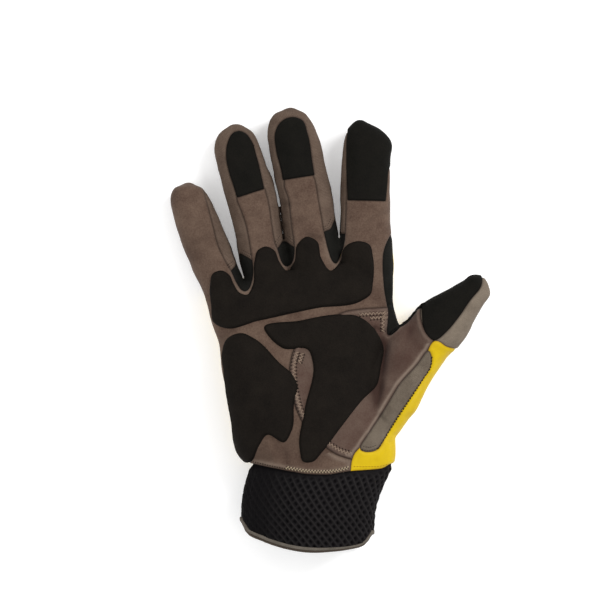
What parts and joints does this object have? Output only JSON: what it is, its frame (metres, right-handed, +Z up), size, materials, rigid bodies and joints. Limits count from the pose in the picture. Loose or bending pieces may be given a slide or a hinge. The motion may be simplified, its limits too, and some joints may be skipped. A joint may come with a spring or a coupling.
{
  "type": "rope access glove",
  "caption": "Padded right-hand work glove lying palm up: suede palm and fingers with raised pads, stretch webs, mesh cuff.",
  "frame": {"origin": "middle of the glove's underside, on the surface that it lies on", "axes": "+X towards the thumb, +Y towards the fingertips, +Z up out of the palm"},
  "size_m": [0.1784, 0.2484, 0.0382],
  "materials": {
    "palm_suede": "matt grey-brown synthetic suede",
    "grey_cloth": "matt grey stretch cloth",
    "yellow_cloth": "yellow stretch cloth with a soft sheen",
    "black_stretch": "smooth black stretch cloth",
    "black_pad": "matt black synthetic leather over thin foam",
    "black_mesh": "black three-layer spacer mesh with dimples",
    "binding_tape": "grey woven binding tape"
  },
  "bodies": {
    "root": {"palm_panel": "palm_suede", "thumb_panel": "palm_suede", "pinky_side_wall": "grey_cloth", "ring_side_wall": "grey_cloth", "middle_side_wall": "grey_cloth", "index_side_wall": "grey_cloth", "pinky_back": "grey_cloth", "ring_back": "grey_cloth", "middle_back": "grey_cloth", "index_back": "grey_cloth", "thumb_back_tip": "grey_cloth", "thumb_side_strip": "grey_cloth", "back_panel": "yellow_cloth", "web_pinky_ring": "black_stretch", "web_ring_middle": "black_stretch", "web_middle_index": "black_stretch", "index_saddle": "black_stretch", "knuckle_pad": "black_pad", "heel_pad": "black_pad", "thenar_pad": "black_pad", "ring_tip_pad": "black_pad", "middle_tip_pad": "black_pad", "index_tip_pad": "black_pad", "thumb_cap": "black_pad", "cuff": "black_mesh", "cuff_binding": "binding_tape"}
  },
  "joints": []
}
